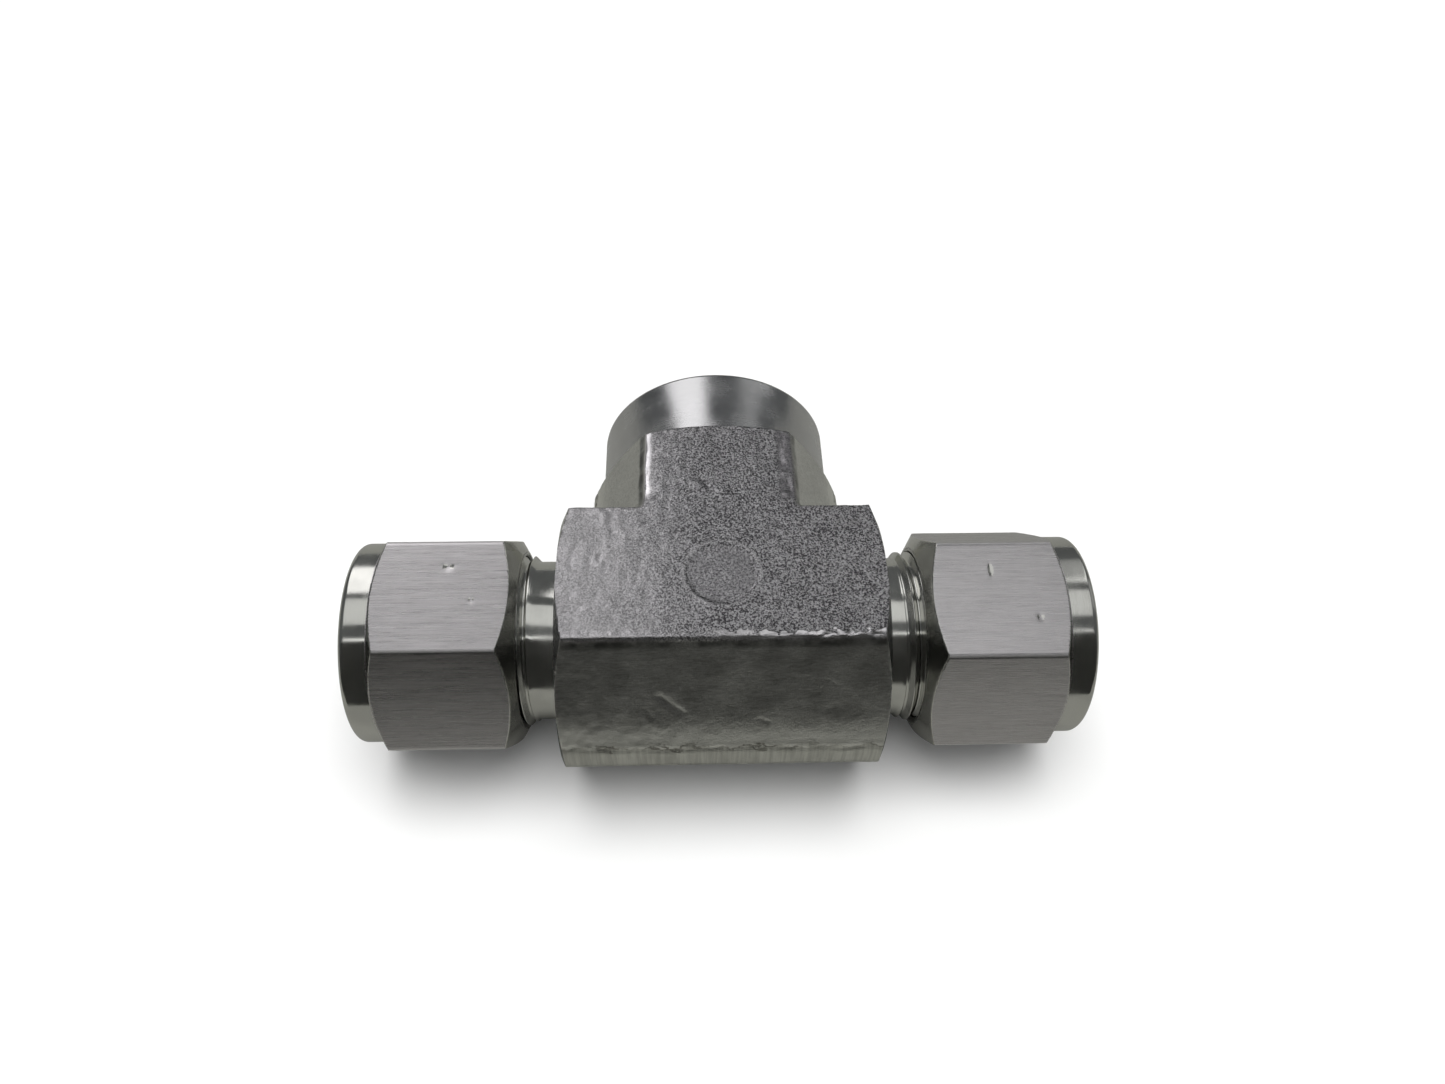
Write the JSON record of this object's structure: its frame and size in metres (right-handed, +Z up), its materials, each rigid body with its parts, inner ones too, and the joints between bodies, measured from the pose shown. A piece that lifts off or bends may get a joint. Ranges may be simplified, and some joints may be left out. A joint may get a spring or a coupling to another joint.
{
  "type": "compression fitting",
  "caption": "Stainless twin-ferrule tube fitting: a forged branch tee that joins two 12.7 mm tubes in line and a 1/2 NPT male thread at the side.",
  "frame": {"origin": "the point where the axes of the run and the branch cross", "axes": "+X along the run towards the right tube end, +Y along the branch out of its threaded mouth, +Z up, square to the forging's flats"},
  "size_m": [0.079, 0.0433, 0.0278],
  "materials": {
    "forged_body": "shot-blasted forging with satin turned boss and polished threaded ends",
    "nut": "brushed flats with polished chamfers and shoulder",
    "ferrule": "fine turned"
  },
  "bodies": {
    "tee": {"tee_body": "forged_body"},
    "left_back_ferrule": {"left_back_ferrule": "ferrule"},
    "left_nut": {"left_nut": "nut"},
    "left_front_ferrule": {"left_front_ferrule": "ferrule"},
    "right_back_ferrule": {"right_back_ferrule": "ferrule"},
    "right_nut": {"right_nut": "nut"},
    "right_front_ferrule": {"right_front_ferrule": "ferrule"}
  },
  "joints": [
    {"name": "left_nut_travel", "type": "slide", "parent": "tee", "child": "left_back_ferrule", "axis": [-1, 0, 0], "range_m": [0, 0.00889]},
    {"name": "left_nut_turn", "type": "hinge", "parent": "left_back_ferrule", "child": "left_nut", "pos_m": [-0.0305, 0, 0], "axis": [-1, 0, 0], "range_deg": [0, 2520]},
    {"name": "left_front_ferrule_travel", "type": "slide", "parent": "tee", "child": "left_front_ferrule", "axis": [-1, 0, 0], "range_m": [0, 0.00889]},
    {"name": "right_nut_travel", "type": "slide", "parent": "tee", "child": "right_back_ferrule", "axis": [1, 0, 0], "range_m": [0, 0.00889]},
    {"name": "right_nut_turn", "type": "hinge", "parent": "right_back_ferrule", "child": "right_nut", "pos_m": [0.0305, 0, 0], "axis": [1, 0, 0], "range_deg": [0, 2520]},
    {"name": "right_front_ferrule_travel", "type": "slide", "parent": "tee", "child": "right_front_ferrule", "axis": [1, 0, 0], "range_m": [0, 0.00889]}
  ],
  "couplings": [
    {"joint": "left_nut_travel", "follows": "left_nut_turn", "m_per_rad": 0.00020213},
    {"joint": "left_front_ferrule_travel", "follows": "left_nut_turn", "m_per_rad": 0.00020213},
    {"joint": "right_nut_travel", "follows": "right_nut_turn", "m_per_rad": 0.00020213},
    {"joint": "right_front_ferrule_travel", "follows": "right_nut_turn", "m_per_rad": 0.00020213}
  ]
}
